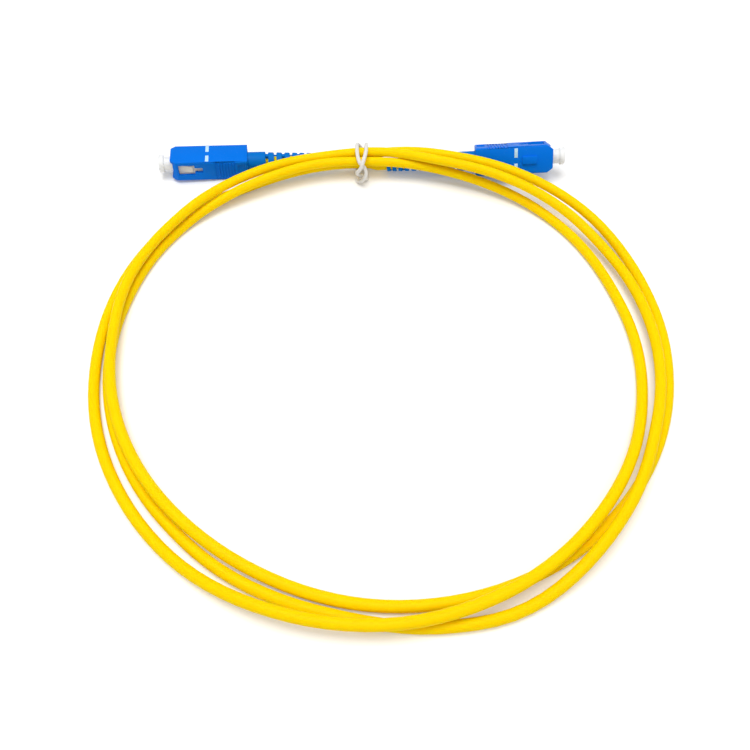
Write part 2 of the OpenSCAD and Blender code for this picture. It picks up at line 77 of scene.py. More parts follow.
class PATCHCORD_PG_cord(bpy.types.PropertyGroup):
    """Sizes and colour of the jacketed cord"""
    diameter: length("Diameter", "Outside diameter of the jacket", 3.0)
    clear: length("Clear space", "Space between neighbouring loops", 0.5)
    coil_radius: length("Coil radius", "Mean radius of the wound loops", 77.0)
    steps: IntProperty(name="Steps", description="Points along each loop", default=120, min=24)
    tint: colour("Jacket", "Colour of the jacket", (0.92, 0.65, 0.0))


class PATCHCORD_PG_tie(bpy.types.PropertyGroup):
    """Sizes and colour of the tie"""
    diameter: length("Diameter", "Diameter of the tie's strand", 1.25)
    gap: length("Strand gap", "Clear space where the strand's two passes cross", 0.6)
    reach: length("Reach", "Sideways reach of each pass from the tie's middle", 1.5)
    steps: IntProperty(name="Steps", description="Points along each turn of the tie",
                       default=120, min=24)
    tint: colour("Tie", "Colour of the tie", (0.78, 0.76, 0.72))


class PATCHCORD_PG_plug(bpy.types.PropertyGroup):
    """Sizes and colours of the plugs"""
    house_length: length("Housing length", "Length of the grip housing", 25.2)
    house_thickness: length("Housing thickness", "Thickness of the housing without its key",
                            7.4)
    edge_round: length("Edge rounding", "Rounding of the housing's moulded edges", 0.12)
    mark_length: length("Mark length", "Length of each inlaid mark along the plug", 1.1)
    mark_width: length("Mark width", "Width of each inlaid mark across the plug", 3.0)
    mark_back: length("Mark distance", "Distance of the marks behind the housing's front",
                      11.45)
    ferrule_out: length("Ferrule reach", "How far the ferrule stands ahead of the housing", 1.9)
    wire: length("Spring wire", "Wire diameter of the ferrule spring", 0.45)
    spring_diameter: length("Spring diameter", "Mean diameter of the ferrule spring", 3.9)
    spring_turns: IntProperty(name="Spring turns", description="Turns of the ferrule spring",
                              default=4, min=1)
    blue: colour("Housing", "Colour of the grip housing", (0.0, 0.168, 0.75))
    ivory: colour("Plug frame", "Colour of the inner plug frame", (0.80, 0.78, 0.73))
    inlay: colour("Marks", "Colour of the inlaid marks", (0.52, 0.74, 0.90))


class PATCHCORD_PG_boot(bpy.types.PropertyGroup):
    """Sizes and colour of the strain-relief boots"""
    diameter: length("Diameter", "Diameter of the smooth collar", 6.2)
    tip_diameter: length("Tip diameter", "Diameter at the boot's tip", 4.0)
    collar_length: length("Collar length", "Length of the collar behind the housing", 6.0)
    total_length: length("Length", "Length of the boot behind the housing", 29.5)
    rings: IntProperty(name="Rings", description="Number of flexible rings", default=10, min=2)
    slot_first: length("First slot", "Width of the slot next to the collar", 0.85)
    ring_round: length("Ring rounding", "Rounding of each ring's two rims", 0.3)
    slot_last: length("Last slot", "Width of the slot next to the tip", 0.6)
    groove: length("Groove depth", "Depth of the groove at each slot", 0.35)
    bridge: length("Bridge width", "Width of the bridges across each slot", 1.3)
    tint: colour("Boot", "Colour of the boot", (0.0, 0.16, 0.57))


class PATCHCORD_PG_cap(bpy.types.PropertyGroup):
    """Sizes and colour of the dust caps"""
    head_diameter: length("Head diameter", "Diameter of the cap's head", 5.7)
    head_thickness: length("Head thickness", "Thickness of the cap's head", 1.7)
    neck_diameter: length("Neck diameter", "Diameter of the cap's neck", 4.7)
    reach: length("Reach", "How far the cap stands ahead of the housing", 4.1)
    insert: length("Insert", "How far the neck reaches behind the housing's front", 5.0)
    tint: colour("Cap", "Colour of the cap", (0.84, 0.85, 0.85))


class PATCHCORD_PG_all(bpy.types.PropertyGroup):
    """Everything that can be set on the patch cord"""
    cord: PointerProperty(type=PATCHCORD_PG_cord)
    tie: PointerProperty(type=PATCHCORD_PG_tie)
    plug: PointerProperty(type=PATCHCORD_PG_plug)
    boot: PointerProperty(type=PATCHCORD_PG_boot)
    cap: PointerProperty(type=PATCHCORD_PG_cap)


# ---- Where the plugs and the cord lie ----

# In millimetres. A plug's own X axis runs from its housing's rear, at 0, to its front.
HALF_WIDTH = 4.5
HALF_THICKNESS = 3.7
KEY_HEIGHT = 0.7
KEY_REAR = 15.2
EDGE_CHAMFER = 0.35
JACKET_END = -4.2
STOP_FRONT = 10.7
SPRING_FRONT = 16.0

# Each plug's housing rear on the table, as (x, y), with its turn, tilt and roll.
PLUG_A_AT = (-38.1, 1.3)
PLUG_A_TILT = math.atan(KEY_HEIGHT / KEY_REAR)
PLUG_A_TURN = math.radians(185.5)
PLUG_B_AT = (38.1, -0.3)
PLUG_B_TILT = math.radians(4.9)
PLUG_B_TURN = math.radians(-1.2)
PLUG_B_ROLL = math.radians(62.5)


def plug_pose(side):
    """Matrix that takes a point of the plug, in metres, to its place on the table."""
    if side == "a":
        at = Vector((*PLUG_A_AT, HALF_THICKNESS * math.cos(PLUG_A_TILT)))
        roll, tilt, turn = math.pi, PLUG_A_TILT, PLUG_A_TURN
    else:
        drop = (HALF_WIDTH * math.sin(PLUG_B_ROLL)
                + (HALF_THICKNESS - EDGE_CHAMFER) * math.cos(PLUG_B_ROLL))
        height = drop * math.cos(PLUG_B_TILT) - EDGE_CHAMFER * math.sin(PLUG_B_TILT)
        at = Vector((*PLUG_B_AT, height))
        roll, tilt, turn = PLUG_B_ROLL, PLUG_B_TILT, PLUG_B_TURN
    return (Matrix.Translation(at * MM) @ Matrix.Rotation(turn, 4, "Z")
            @ Matrix.Rotation(-tilt, 4, "Y") @ Matrix.Rotation(roll, 4, "X"))


def smooth_table(table, x):
    """Value at x of a table of (position, value) rows, with no overshoot between rows."""
    last = len(table) - 1

    def slope(i):
        if i == 0 or i == last:
            return 0.0
        before = (table[i][1] - table[i - 1][1]) / (table[i][0] - table[i - 1][0])
        after = (table[i + 1][1] - table[i][1]) / (table[i + 1][0] - table[i][0])
        return 0.0 if before * after <= 0 else 2 * before * after / (before + after)

    i = 0
    while i < last - 1 and x >= table[i + 1][0]:
        i += 1
    h = table[i + 1][0] - table[i][0]
    s = min(1.0, max(0.0, (x - table[i][0]) / h))
    return ((2 * s**3 - 3 * s**2 + 1) * table[i][1] + (s**3 - 2 * s**2 + s) * h * slope(i)
            + (3 * s**2 - 2 * s**3) * table[i + 1][1] + (s**3 - s**2) * h * slope(i + 1))


COIL_AT = (6.7, -75.6)
LOOPS = 3
# The cord's lane at each angle in degrees, clockwise from the tie as seen from above. 0 is the
# mean loop, and each whole number is one cord and its clear space further out.
LANES = [
    (-8, 0.5), (0, 0.4), (15, -0.11), (58, 1.5), (100, 0.65), (182, -0.77), (205, -1.16),
    (222, -1.12), (240, -0.98), (258, -0.69), (270, -0.41), (290, 0.5), (306, 0.82),
    (330, 0.66), (345, 0.28),
    (360, -0.35), (376, -1.2), (382, -1.15), (414, 0.02), (470, -0.22), (490, 0.4),
    (518, 1.38), (530, 0.97), (550, 0.07), (570, -0.22), (586, -0.45), (600, -0.43),
    (640, 0.05), (666, 0.6), (690, -0.36), (705, -0.66),
    (720, -1.12), (736, -1.06), (762, -0.55), (798, -1.42), (828, -1.32), (850, -0.86),
    (880, 0.2), (900, 0.8), (926, 1.08), (962, 0.87), (982, 0.85), (1024, 1.53), (1068, -0.12),
    (1080, -0.14),
]
# The cord's layer at each angle: 0 lies on the table, and each whole number is one cord and its
# clear space higher.
LAYERS = [
    (-8, 0.65), (0, 1.35), (15, 2.2), (24, 2.25), (80, 0), (194, 0), (226, 1), (302, 1),
    (315, 1.4), (330, 1.55), (345, 1.6),
    (360, 2.04), (376, 2.35), (384, 2.35), (425, 0.8), (440, 0.85), (468, 1), (498, 1),
    (516, 0), (664, 0), (675, 0.5), (690, 1.3), (705, 1.55),
    (720, 1.5), (735, 1.16), (772, 0), (820, 0), (844, 1), (916, 1), (942, 0), (1040, 0),
    (1065, 0.68), (1072, 0.6), (1080, 0.42),
]


def cord_route(cord, boot):
    """Points of the cord's centreline at its start, along its loops and at its end."""
    pitch = cord.diameter + cord.clear
    pose_a, pose_b = plug_pose("a"), plug_pose("b")
    tip = -boot.total_length

    def lay(a):
        radius = cord.coil_radius + pitch * smooth_table(LANES, a)
        t = math.radians(a)
        return Vector((COIL_AT[0] * MM + radius * math.sin(t),
                       COIL_AT[1] * MM + radius * math.cos(t),
                       cord.diameter / 2 + pitch * smooth_table(LAYERS, a)))

    start = [pose_a @ Vector((x, 0, 0)) for x in (JACKET_END * MM, tip, tip - cord.diameter)]
    end = [pose_b @ Vector((x, 0, 0)) for x in (tip - cord.diameter, tip, JACKET_END * MM)]
    turn = 360 / cord.steps
    loops = [lay(i * turn) for i in range(LOOPS * cord.steps)]
    return start, loops, end


# ---- Making pieces ----

def new_piece(name, bm, material, smooth=30):
    """Object at the origin from a bmesh whose points are already in place."""
    mesh = bpy.data.meshes.new(name)
    bm.to_mesh(mesh)
    bm.free()
    mesh.shade_smooth()
    mesh.set_sharp_from_angle(angle=math.radians(smooth))
    mesh.materials.append(material)
    piece = bpy.data.objects.new(name, mesh)
    bpy.context.scene.collection.objects.link(piece)
    return piece


def swept_piece(name, points, diameter, material, cyclic=False, resolution=10):
    """Round tube along the points, as a mesh with its own UV map."""
    curve = bpy.data.curves.new(name, "CURVE")
    curve.dimensions = "3D"
    curve.bevel_depth = diameter / 2
    curve.bevel_resolution = resolution
    curve.use_fill_caps = not cyclic
    spline = curve.splines.new("POLY")
    spline.points.add(len(points) - 1)
    for place, p in zip(spline.points, points):
        place.co = (*p, 1.0)
    spline.use_cyclic_u = cyclic
    swept = bpy.data.objects.new(name, curve)
    bpy.context.scene.collection.objects.link(swept)
    bpy.context.view_layer.update()
    graph = bpy.context.evaluated_depsgraph_get()
    mesh = bpy.data.meshes.new_from_object(swept.evaluated_get(graph))
    bpy.data.objects.remove(swept)
    bpy.data.curves.remove(curve)
    mesh.name = name
    mesh.shade_smooth()
    mesh.materials.clear()
    mesh.materials.append(material)
    piece = bpy.data.objects.new(name, mesh)
    bpy.context.scene.collection.objects.link(piece)
    return piece


def between(p0, p1, p2, p3, s):
    """Point at share s of the way from p1 to p2, on the smooth curve through all four."""
    return 0.5 * (2 * p1 + (p2 - p0) * s + (2 * p0 - 5 * p1 + 4 * p2 - p3) * s**2
                  + (3 * p1 - p0 - 3 * p2 + p3) * s**3)


def curve_through(points, per_span):
    """Points of a smooth curve that passes through all the given points."""
    rounded = []
    for i in range(len(points) - 1):
        p0, p1 = points[max(i - 1, 0)], points[i]
        p2, p3 = points[i + 1], points[min(i + 2, len(points) - 1)]
        rounded += [between(p0, p1, p2, p3, k / per_span) for k in range(per_span)]
    rounded.append(points[-1])
    return rounded


def spin_profile(bm, profile, steps=64):
    """Closed ring or plug of revolution round the X axis from (x, radius) corners in order."""
    verts = [bm.verts.new((x, 0, r)) for x, r in profile]
    edges = [bm.edges.new((verts[i], verts[i + 1])) for i in range(len(verts) - 1)]
    if profile[0][1] > 0 or profile[-1][1] > 0:
        edges.append(bm.edges.new((verts[-1], verts[0])))
    bmesh.ops.spin(bm, geom=verts + edges, cent=(0, 0, 0), axis=(1, 0, 0),
                   angle=math.tau, steps=steps, use_merge=True)


def rounded_corner(x, r, dx, dr, n=4):
    """Corners of a quarter round from (x, r + dr) to (x + dx, r)."""
    return [(x + dx - dx * math.cos(t), r + dr - dr * math.sin(t))
            for t in (math.pi / 2 * k / n for k in range(n + 1))]


def close_up(bm):
    """Merges the seam and poles and turns every face outwards."""
    bmesh.ops.remove_doubles(bm, verts=bm.verts, dist=1e-7)
    bmesh.ops.recalc_face_normals(bm, faces=bm.faces)


def rounded_copy(node, offset, segments=2, sharp=25):
    """A copy of a frame node's solid, cleaned of its triangles and with its edges rounded."""
    bm = bmesh.new()
    bm.from_mesh(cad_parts[node].data)
    bmesh.ops.remove_doubles(bm, verts=bm.verts, dist=1e-6)
    bmesh.ops.dissolve_limit(bm, angle_limit=math.radians(1), verts=bm.verts, edges=bm.edges)
    edges = [e for e in bm.edges if e.is_manifold and e.calc_face_angle(0) > math.radians(sharp)]
    if offset > 0:
        bmesh.ops.bevel(bm, geom=edges, offset=offset, offset_type="OFFSET", segments=segments,
                        profile=0.5, affect="EDGES", clamp_overlap=True, material=-1)
    return bm


def place_piece(piece, body, slot, *nodes):
    """Puts a piece on its body, in place of the frame's nodes; the slot is not used."""
    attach(piece, body)
    if nodes:
        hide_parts(*nodes)
    return piece


# ---- Finishes ----

def node_group(name, inputs, outputs):
    group = bpy.data.node_groups.new(name, "ShaderNodeTree")
    for socket, kind, value in inputs:
        made = group.interface.new_socket(socket, in_out="INPUT", socket_type=kind)
        if value is not None:
            made.default_value = value
    for socket, kind in outputs:
        group.interface.new_socket(socket, in_out="OUTPUT", socket_type=kind)
    return group, group.nodes.new("NodeGroupInput"), group.nodes.new("NodeGroupOutput")


def noise(tree, vector, scale, detail=2.0, roughness=0.5):
    node = tree.nodes.new("ShaderNodeTexNoise")
    node.inputs["Detail"].default_value = detail
    node.inputs["Roughness"].default_value = roughness
    if isinstance(scale, float):
        node.inputs["Scale"].default_value = scale
    else:
        tree.links.new(scale, node.inputs["Scale"])
    tree.links.new(vector, node.inputs["Vector"])
    return node


def math_node(tree, operation, a, b=None, c=None, clamp=False):
    node = tree.nodes.new("ShaderNodeMath")
    node.operation = operation
    node.use_clamp = clamp
    for socket, value in zip(node.inputs, (a, b, c)):
        if value is None:
            continue
        if isinstance(value, (int, float)):
            socket.default_value = value
        else:
            tree.links.new(value, socket)
    return node.outputs[0]


def moulded_skin():
    """Fine moulded grain with broad uneven gloss and a few faint scuffs."""
    name = "Moulded skin"
    if name in bpy.data.node_groups:
        return bpy.data.node_groups[name]
    group, entry, out = node_group(
        name,
        [("Vector", "NodeSocketVector", None), ("Grain Scale", "NodeSocketFloat", 9000.0),
         ("Scuff Amount", "NodeSocketFloat", 0.3)],
        [("Height", "NodeSocketFloat"), ("Gloss", "NodeSocketFloat"), ("Scuff", "NodeSocketFloat")])
    vector = entry.outputs["Vector"]
    grain = noise(group, vector, entry.outputs["Grain Scale"], 3.0)
    broad = noise(group, vector, 260.0, 3.0)
    fine = noise(group, vector, 1500.0, 6.0, 0.7)
    scuff = math_node(group, "SUBTRACT", fine.outputs["Fac"], 0.6, clamp=True)
    scuff = math_node(group, "MULTIPLY", scuff, 5.0, clamp=True)
    scuff = math_node(group, "MULTIPLY", scuff, entry.outputs["Scuff Amount"], clamp=True)
    group.links.new(grain.outputs["Fac"], out.inputs["Height"])
    group.links.new(broad.outputs["Fac"], out.inputs["Gloss"])
    group.links.new(scuff, out.inputs["Scuff"])
    return group


def new_material(name):
    material = bpy.data.materials.new(name)
    material.use_nodes = True
    return material, material.node_tree, material.node_tree.nodes["Principled BSDF"]


def darker(rgb, share):
    return tuple(c * share for c in rgb)


def stretched(tree, along):
    """Object coordinates scaled along X, which draws out the marks made on them."""
    place = tree.nodes.new("ShaderNodeTexCoord")
    stretch = tree.nodes.new("ShaderNodeMapping")
    stretch.inputs["Scale"].default_value = (along, 1.0, 1.0)
    tree.links.new(place.outputs["Object"], stretch.inputs["Vector"])
    return stretch.outputs["Vector"]


def map_range(tree, value, low, high):
    """Spreads the middle of a noise over low to high."""
    node = tree.nodes.new("ShaderNodeMapRange")
    node.inputs["From Min"].default_value = 0.3
    node.inputs["From Max"].default_value = 0.7
    node.inputs["To Min"].default_value = low
    node.inputs["To Max"].default_value = high
    tree.links.new(value, node.inputs["Value"])
    return node.outputs["Result"]


def mixed(tree, factor, first, second):
    """Blend of two colours, which are the Mix node's inputs 6 and 7 and its output 2."""
    node = tree.nodes.new("ShaderNodeMix")
    node.data_type = "RGBA"
    tree.links.new(factor, node.inputs["Factor"])
    for socket, value in ((node.inputs[6], first), (node.inputs[7], second)):
        if isinstance(value, bpy.types.NodeSocket):
            tree.links.new(value, socket)
        else:
            socket.default_value = (*value, 1.0)
    return node.outputs[2]


def add_bump(tree, shader, height, distance, strength=1.0):
    bump = tree.nodes.new("ShaderNodeBump")
    bump.inputs["Distance"].default_value = distance
    bump.inputs["Strength"].default_value = strength
    tree.links.new(height, bump.inputs["Height"])
    tree.links.new(bump.outputs["Normal"], shader.inputs["Normal"])


def moulded_plastic(name, rgb, rough=(0.32, 0.46), grain=0.000012, scuff=0.25, deep=0.92,
                    shine=0.06):
    """Injection-moulded plastic: fine grain, uneven gloss, faint pale scuffs."""
    if name in bpy.data.materials:
        return bpy.data.materials[name]
    material, tree, shader = new_material(name)
    place = tree.nodes.new("ShaderNodeTexCoord")
    skin = tree.nodes.new("ShaderNodeGroup")
    skin.node_tree = moulded_skin()
    skin.inputs["Scuff Amount"].default_value = scuff
    tree.links.new(place.outputs["Object"], skin.inputs["Vector"])
    rgb = tuple(rgb)
    body = mixed(tree, skin.outputs["Gloss"], darker(rgb, deep), rgb)
    pale = tuple(0.75 * c + 0.2 for c in rgb)
    tree.links.new(mixed(tree, skin.outputs["Scuff"], body, pale), shader.inputs["Base Color"])
    tree.links.new(map_range(tree, skin.outputs["Gloss"], *rough), shader.inputs["Roughness"])
    shader.inputs["Specular IOR Level"].default_value = shine
    add_bump(tree, shader, skin.outputs["Height"], grain)
    return material


def jacket_finish(name, rgb):
    """Extruded jacket: soft sheen, faint ripple and fine grain."""
    if name in bpy.data.materials:
        return bpy.data.materials[name]
    material, tree, shader = new_material(name)
    place = tree.nodes.new("ShaderNodeTexCoord")
    ripple = noise(tree, place.outputs["Object"], 420.0, 2.0)
    grain = noise(tree, place.outputs["Object"], 5200.0, 3.0)
    height = math_node(tree, "MULTIPLY_ADD", grain.outputs["Fac"], 0.12, ripple.outputs["Fac"])
    rgb = tuple(rgb)
    deeper = (rgb[0] * 0.97, rgb[1] * 0.93, rgb[2])
    tree.links.new(mixed(tree, ripple.outputs["Fac"], deeper, rgb), shader.inputs["Base Color"])
    tree.links.new(map_range(tree, grain.outputs["Fac"], 0.40, 0.52), shader.inputs["Roughness"])
    shader.inputs["Specular IOR Level"].default_value = 0.04
    shader.inputs["Subsurface Weight"].default_value = 0.6
    shader.inputs["Subsurface Radius"].default_value = (1.0, 0.55, 0.03)
    shader.inputs["Subsurface Scale"].default_value = 0.0016
    add_bump(tree, shader, height, 0.00003, 0.6)
    return material


def clear_plastic(name, rgb):
    """Milky translucent moulding."""
    if name in bpy.data.materials:
        return bpy.data.materials[name]
    material, tree, shader = new_material(name)
    place = tree.nodes.new("ShaderNodeTexCoord")
    cloud = noise(tree, place.outputs["Object"], 700.0, 3.0)
    rgb = tuple(rgb)
    tree.links.new(mixed(tree, cloud.outputs["Fac"], darker(rgb, 0.94), rgb),
                   shader.inputs["Base Color"])
    tree.links.new(map_range(tree, cloud.outputs["Fac"], 0.22, 0.34), shader.inputs["Roughness"])
    shader.inputs["Specular IOR Level"].default_value = 0.3
    shader.inputs["Subsurface Weight"].default_value = 0.7
    shader.inputs["Subsurface Radius"].default_value = (1.0, 1.0, 1.0)
    shader.inputs["Subsurface Scale"].default_value = 0.002
    shader.inputs["IOR"].default_value = 1.49
    add_bump(tree, shader, cloud.outputs["Fac"], 0.00001)
    return material


def turned_metal(name, rgb, rough=(0.22, 0.38)):
    """Turned and plated metal with fine tool marks."""
    if name in bpy.data.materials:
        return bpy.data.materials[name]
    material, tree, shader = new_material(name)
    marks = noise(tree, stretched(tree, 8.0), 1600.0, 3.0)
    tree.links.new(mixed(tree, marks.outputs["Fac"], darker(rgb, 0.85), rgb),
                   shader.inputs["Base Color"])
    tree.links.new(map_range(tree, marks.outputs["Fac"], *rough), shader.inputs["Roughness"])
    shader.inputs["Metallic"].default_value = 1.0
    add_bump(tree, shader, marks.outputs["Fac"], 0.000008)
    return material


def spun_yarn(name, rgb):
    """Loose parallel filaments."""
    if name in bpy.data.materials:
        return bpy.data.materials[name]
    material, tree, shader = new_material(name)
    strands = noise(tree, stretched(tree, 0.08), 6500.0, 2.0)
    tree.links.new(mixed(tree, strands.outputs["Fac"], darker(rgb, 0.6), rgb),
                   shader.inputs["Base Color"])
    shader.inputs["Roughness"].default_value = 0.7
    shader.inputs["Sheen Weight"].default_value = 0.4
    add_bump(tree, shader, strands.outputs["Fac"], 0.00006)
    return material


# ---- Operators ----

FLOOR_GLOW = 0.12
WORLD_LIGHT, WORLD_SEEN = 0.42, 0.58
# Each lamp's name, its place and size in metres, and its power in watts.
LAMPS = (
    ("Key light", (-0.05, -0.04, 0.70), 0.45, 3.65),
    ("Fill light", (0.10, -0.50, 0.75), 0.60, 1.6),
)
LAMP_AIM = (0, -0.07, 0)
# The camera's place in millimetres and its tilt below level in degrees.
CAMERA_AT = (4.7, -211.1, 179.6)
CAMERA_DOWN = 54.75
SENSOR_WIDTH = 36.0
FOCAL_PIXELS, PICTURE_PIXELS = 790, 750


class PATCHCORD_OT_stage(bpy.types.Operator):
    """Adds the pale floor, the soft lights and the camera"""
    bl_idname = "patchcord.stage"
    bl_label = "Set the stage"

    def execute(self, context):
        scene = context.scene
        scene.view_settings.view_transform = "Standard"

        bm = bmesh.new()
        bmesh.ops.create_grid(bm, x_segments=1, y_segments=1, size=3.0)
        material, tree, shader = new_material("White table")
        shader.inputs["Base Color"].default_value = (0.90, 0.895, 0.885, 1.0)
        shader.inputs["Roughness"].default_value = 0.9
        shader.inputs["Specular IOR Level"].default_value = 0.0
        glow = tree.nodes.new("ShaderNodeEmission")
        glow.inputs["Color"].default_value = (1.0, 0.995, 0.985, 1.0)
        lift = tree.nodes.new("ShaderNodeAddShader")
        path = tree.nodes.new("ShaderNodeLightPath")
        seen = math_node(tree, "MAXIMUM", path.outputs["Is Camera Ray"],
                         path.outputs["Is Glossy Ray"])
        seen = math_node(tree, "MAXIMUM", seen, path.outputs["Is Transmission Ray"])
        tree.links.new(math_node(tree, "MULTIPLY", seen, FLOOR_GLOW), glow.inputs["Strength"])
        out = tree.nodes["Material Output"]
        tree.links.new(shader.outputs[0], lift.inputs[0])
        tree.links.new(glow.outputs[0], lift.inputs[1])
        tree.links.new(lift.outputs[0], out.inputs["Surface"])
        floor = new_piece("floor", bm, material)

        world = bpy.data.worlds.new("Soft studio")
        scene.world = world
        world.use_nodes = True
        tree = world.node_tree
        back = tree.nodes["Background"]
        back.inputs["Color"].default_value = (1.0, 1.0, 1.0, 1.0)
        path = tree.nodes.new("ShaderNodeLightPath")
        strength = math_node(tree, "MULTIPLY_ADD", path.outputs["Is Camera Ray"], WORLD_SEEN,
                             WORLD_LIGHT)
        tree.links.new(strength, back.inputs["Strength"])

        for name, at, size, power in LAMPS:
            lamp = bpy.data.lights.new(name, "AREA")
            lamp.size = size
            lamp.energy = power
            holder = bpy.data.objects.new(name, lamp)
            holder.location = at
            aim = Vector(LAMP_AIM) - Vector(at)
            holder.rotation_euler = aim.to_track_quat("-Z", "Y").to_euler()
            scene.collection.objects.link(holder)

        lens = bpy.data.cameras.new("Camera")
        lens.sensor_width = SENSOR_WIDTH
        lens.lens = FOCAL_PIXELS / PICTURE_PIXELS * SENSOR_WIDTH
        lens.clip_start = 0.005
        camera = bpy.data.objects.new("Camera", lens)
        camera.location = Vector(CAMERA_AT) * MM
        camera.rotation_euler = (math.radians(90 - CAMERA_DOWN), 0, 0)
        scene.collection.objects.link(camera)
        scene.camera = camera
        return {"FINISHED"}


LEAD_STEPS = 6


def lead(*points):
    """Points of the middle span of a smooth curve through four points."""
    return curve_through(points, LEAD_STEPS)[LEAD_STEPS:2 * LEAD_STEPS + 1]


class PATCHCORD_OT_cord(bpy.types.Operator):
    """Lays the jacketed cord in its three loops and wraps the tie round it"""
    bl_idname = "patchcord.cord"
    bl_label = "Lay the cord"

    def execute(self, context):
        settings = context.scene.patch_cord
        cord, tie, boot = settings.cord, settings.tie, settings.boot
        start, loops, end = cord_route(cord, boot)
        lead_in = lead(start[1], start[2], loops[0], loops[1])
        lead_out = lead(loops[-2], loops[-1], end[0], end[1])
        points = start[:2] + lead_in[:-1] + loops[:-1] + lead_out + end[1:]
        yellow = jacket_finish("Yellow jacket", cord.tint)
        jacket = swept_piece("jacket", points, cord.diameter, yellow)
        place_piece(jacket, "cord", "cord_yellow", "cord_jacket")

        band = swept_piece("tie_band", tie_route(tie), tie.diameter,
                           moulded_plastic("Coated tie", tie.tint, (0.35, 0.5), 0.00002, 0.1),
                           cyclic=True, resolution=8)
        place_piece(band, "cord", "tie_white", "twist_tie")
        return {"FINISHED"}


# The tie's place, and its section as (y, z) from there, in millimetres, from the top round.
TIE_AT = (0.3, -0.6)
TIE_SECTION = [
    (1, 10.7), (-2.3, 10.5), (-5.7, 9), (-6.1, 6.1), (-5.5, 3.3),
    (-4, 1.15), (-1.1, 0.83), (2.3, 0.86), (6.9, 2.1), (7.1, 6.4),
]
# Twist of the two passes about each other, in degrees, at each share of one turn.
TIE_TWIST = [
    (0, 0), (0.22, 90), (0.32, 180), (0.43, 270), (0.53, 360), (0.76, 360), (0.84, 450),
    (0.92, 540), (1, 540),
]
TIE_PASSES = 2
LOOK_AHEAD = 0.01


def tie_route(tie):
    """Points of the tie's closed strand, whose two passes cross on the way round."""
    corners = [Vector(p) for p in TIE_SECTION]
    count = len(corners)

    def section(u):
        k = math.floor(u * count)
        return between(*(corners[(k + j) % count] for j in (-1, 0, 1, 2)), u * count - k)

    cross = (tie.diameter + tie.gap) / 2 / MM
    points = []
    for i in range(TIE_PASSES * tie.steps):
        done, step = divmod(i, tie.steps)
        u = step / tie.steps
        twist = math.radians(TIE_TWIST[-1][1] * done + smooth_table(TIE_TWIST, u))
        here = section(u)
        along = (section((u + LOOK_AHEAD) % 1) - here).normalized()
        x = TIE_AT[0] + tie.reach / MM * math.cos(twist)
        y = TIE_AT[1] + (here.x + cross * math.sin(twist) * along.y)
        z = here.y - cross * math.sin(twist) * along.x
        points.append(Vector((x, y, z)) * MM)
    return points


class PATCHCORD_OT_housings(bpy.types.Operator):
    """Makes the blue grip housings with their inlaid marks"""
    bl_idname = "patchcord.housings"
    bl_label = "Make the grip housings"

    def execute(self, context):
        plug = context.scene.patch_cord.plug
        blue = moulded_plastic("Blue housing plastic", plug.blue)
        white = moulded_plastic("Pale inlay", plug.inlay, (0.3, 0.4), 0.00001, 0.0, 0.95)
        for side in SIDES:
            node = "grip_housing_" + side
            shell = new_piece("housing_shell_" + side, rounded_copy(node, plug.edge_round), blue)
            place_piece(shell, "housing_" + side, "housing_blue", node)

            bm = bmesh.new()
            proud, middle, edge = 0.03 * MM, 0.95 * MM, 0.05 * MM
            for face in (-1, 1):
                for across in (-1, 1):
                    made = bmesh.ops.create_cube(bm, size=1.0)["verts"]
                    bmesh.ops.scale(bm, verts=made,
                                    vec=(plug.mark_length, plug.mark_width, 4 * proud))
                    bmesh.ops.translate(bm, verts=made, vec=(
                        plug.house_length - plug.mark_back - plug.mark_length / 2,
                        across * (middle + plug.mark_width / 2),
                        face * (plug.house_thickness / 2 - proud)))
            bmesh.ops.bevel(bm, geom=list(bm.edges), offset=edge, offset_type="OFFSET",
                            segments=2, profile=0.5, affect="EDGES", material=-1)
            bm.transform(plug_pose(side))
            marks = new_piece("housing_marks_" + side, bm, white)
            place_piece(marks, "housing_" + side, "frame_ivory")
        return {"FINISHED"}


class PATCHCORD_OT_frames(bpy.types.Operator):
    """Makes the ivory inner plug frames"""
    bl_idname = "patchcord.frames"
    bl_label = "Make the plug frames"

    def execute(self, context):
        plug = context.scene.patch_cord.plug
        ivory = moulded_plastic("Ivory frame plastic", plug.ivory, (0.35, 0.5), 0.00001, 0.1)
        edge = 0.06 * MM
        for side in SIDES:
            node = "plug_frame_" + side
            piece = new_piece("frame_body_" + side, rounded_copy(node, edge), ivory)
            place_piece(piece, "cord", "frame_ivory", node)
        return {"FINISHED"}


